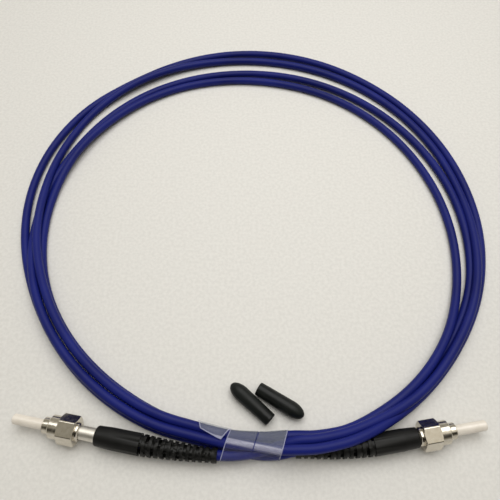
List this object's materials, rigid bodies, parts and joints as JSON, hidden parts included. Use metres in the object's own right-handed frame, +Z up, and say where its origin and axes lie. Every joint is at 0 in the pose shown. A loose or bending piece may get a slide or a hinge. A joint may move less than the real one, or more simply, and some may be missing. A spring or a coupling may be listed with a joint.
{
  "type": "fiber patch cable",
  "caption": "Blue jacketed fibre patch cable in a film tied coil, with a hex nut ferrule connector and ribbed boot on each end and loose ferrule caps.",
  "frame": {"origin": "on the table, under the middle of the box round the connectors, caps and film", "axes": "+X from connector a to connector b, +Y from the connectors across the coil, +Z up from the table"},
  "size_m": [0.1746, 0.1754, 0.0099],
  "materials": {
    "zirconia": "ground, slightly translucent",
    "fibre_glass": "polished end",
    "nickel_plate": "bright nickel plate",
    "spring_steel": "drawn wire",
    "aramid_yarn": "loose yarn",
    "black_rubber": "satin moulded",
    "cap_rubber": "smooth, slight sheen",
    "blue_jacket": "satin extruded jacket",
    "clear_film": "clear stretched film"
  },
  "bodies": {
    "root": {"ferrule_a": "zirconia", "fibre_a": "fibre_glass", "connector_body_a": "nickel_plate", "yarn_skirt_a": "aramid_yarn", "crimp_sleeve_a": "nickel_plate", "strain_boot_a": "black_rubber", "ferrule_b": "zirconia", "fibre_b": "fibre_glass", "connector_body_b": "nickel_plate", "yarn_skirt_b": "aramid_yarn", "crimp_sleeve_b": "nickel_plate", "strain_boot_b": "black_rubber", "ferrule_cap_1": "cap_rubber", "ferrule_cap_2": "cap_rubber", "cable_coil": "blue_jacket", "cable_lead_a": "blue_jacket", "cable_lead_b": "blue_jacket", "tape_wrap": "clear_film"},
    "ring_a": {"spring_ring_a": "spring_steel"},
    "nut_a": {"coupling_nut_a": "nickel_plate"},
    "ring_b": {"spring_ring_b": "spring_steel"},
    "nut_b": {"coupling_nut_b": "nickel_plate"}
  },
  "joints": [
    {"name": "nut_a_slide", "type": "slide", "parent": "root", "child": "ring_a", "axis": [-0.9823, 0.1874, 0], "range_m": [-0.0046, 0.0064]},
    {"name": "nut_a_spin", "type": "hinge", "parent": "ring_a", "child": "nut_a", "pos_m": [-0.05236, -0.00293, 0.00431], "axis": [-0.9823, 0.1874, 0], "continuous": true},
    {"name": "nut_b_slide", "type": "slide", "parent": "root", "child": "ring_b", "axis": [0.9869, 0.1616, 0], "range_m": [0, 0.0064]},
    {"name": "nut_b_spin", "type": "hinge", "parent": "ring_b", "child": "nut_b", "pos_m": [0.05231, -0.00435, 0.00431], "axis": [0.9869, 0.1616, 0], "continuous": true}
  ]
}
